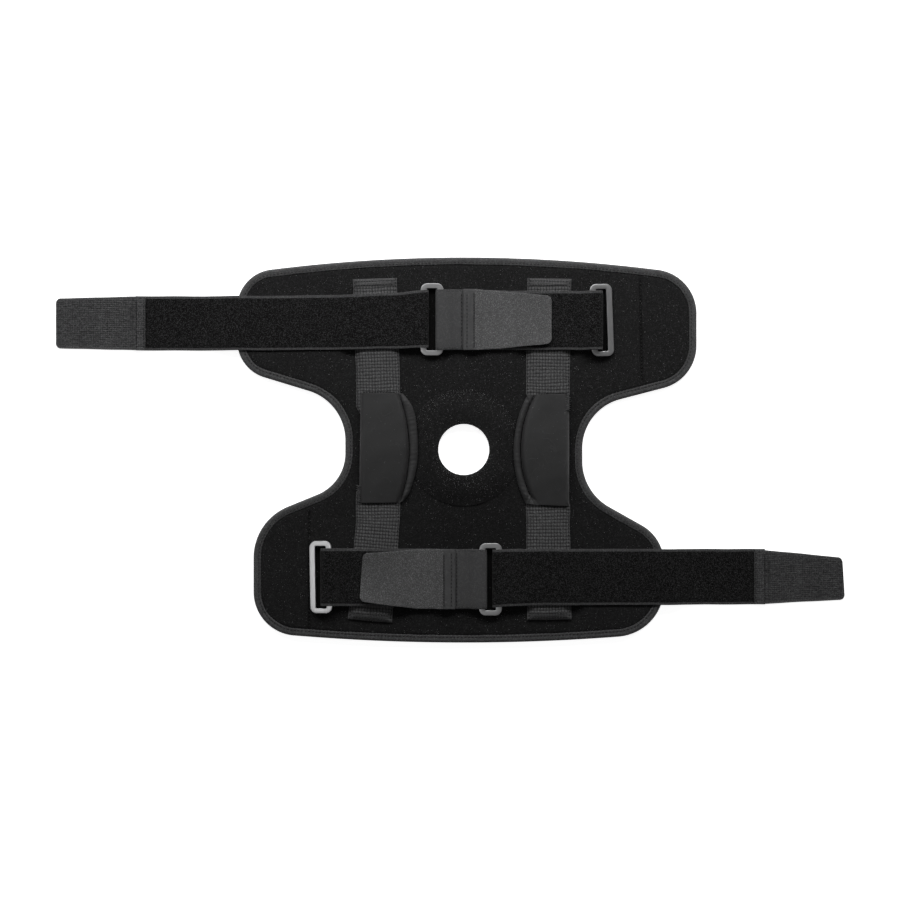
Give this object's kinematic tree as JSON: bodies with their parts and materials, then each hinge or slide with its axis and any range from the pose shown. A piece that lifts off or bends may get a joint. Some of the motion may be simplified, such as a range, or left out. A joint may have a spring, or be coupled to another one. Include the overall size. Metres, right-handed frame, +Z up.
{
  "type": "hinged knee brace",
  "caption": "Padded knee wrap laid flat, with a knee-cap hole, domed side hinge covers over woven stay sleeves, flat metal strap rings, pull tabs and long hook-and-loop straps.",
  "frame": {"origin": "bottom centre of the whole object's box, on the surface that the brace lies on", "axes": "+X along the straps, +Y from the calf end to the thigh end, +Z up out of the brace's outer face"},
  "size_m": [0.716, 0.3508, 0.0141],
  "materials": {
    "plush": "short brushed loop pile",
    "binding": "woven edge tape",
    "webbing": "waffle-woven tape",
    "cover": "smooth knit over foam",
    "strap": "looped strap with grey selvedges",
    "hook_tape": "ribbed hook tape",
    "tab": "grainy tape back",
    "ring_metal": "satin nickel plate"
  },
  "bodies": {
    "brace": {"wrap_panel": "plush", "edge_binding": "binding", "patella_ring": "plush", "hinge_sleeve_left": "webbing", "hinge_sleeve_right": "webbing", "hinge_cover_left": "cover", "hinge_cover_right": "cover", "hinge_rim_left": "cover", "hinge_rim_right": "cover", "upper_long_strap": "strap", "upper_hook_tail": "hook_tape", "upper_short_strap": "strap", "upper_pull_tab": "tab", "upper_inner_ring": "ring_metal", "lower_long_strap": "strap", "lower_hook_tail": "hook_tape", "lower_short_strap": "strap", "lower_pull_tab": "tab", "lower_inner_ring": "ring_metal"},
    "upper_ring": {"upper_end_ring": "ring_metal"},
    "lower_ring": {"lower_end_ring": "ring_metal"}
  },
  "joints": [
    {"name": "upper_ring_swing", "type": "hinge", "parent": "brace", "child": "upper_ring", "pos_m": [0.1305, 0.11774, 0.00945], "axis": [0.0384, -0.9993, 0], "range_deg": [0, 165]},
    {"name": "lower_ring_swing", "type": "hinge", "parent": "brace", "child": "lower_ring", "pos_m": [-0.1099, -0.11536, 0.00945], "axis": [-0.0192, 0.9998, 0], "range_deg": [0, 165]}
  ]
}
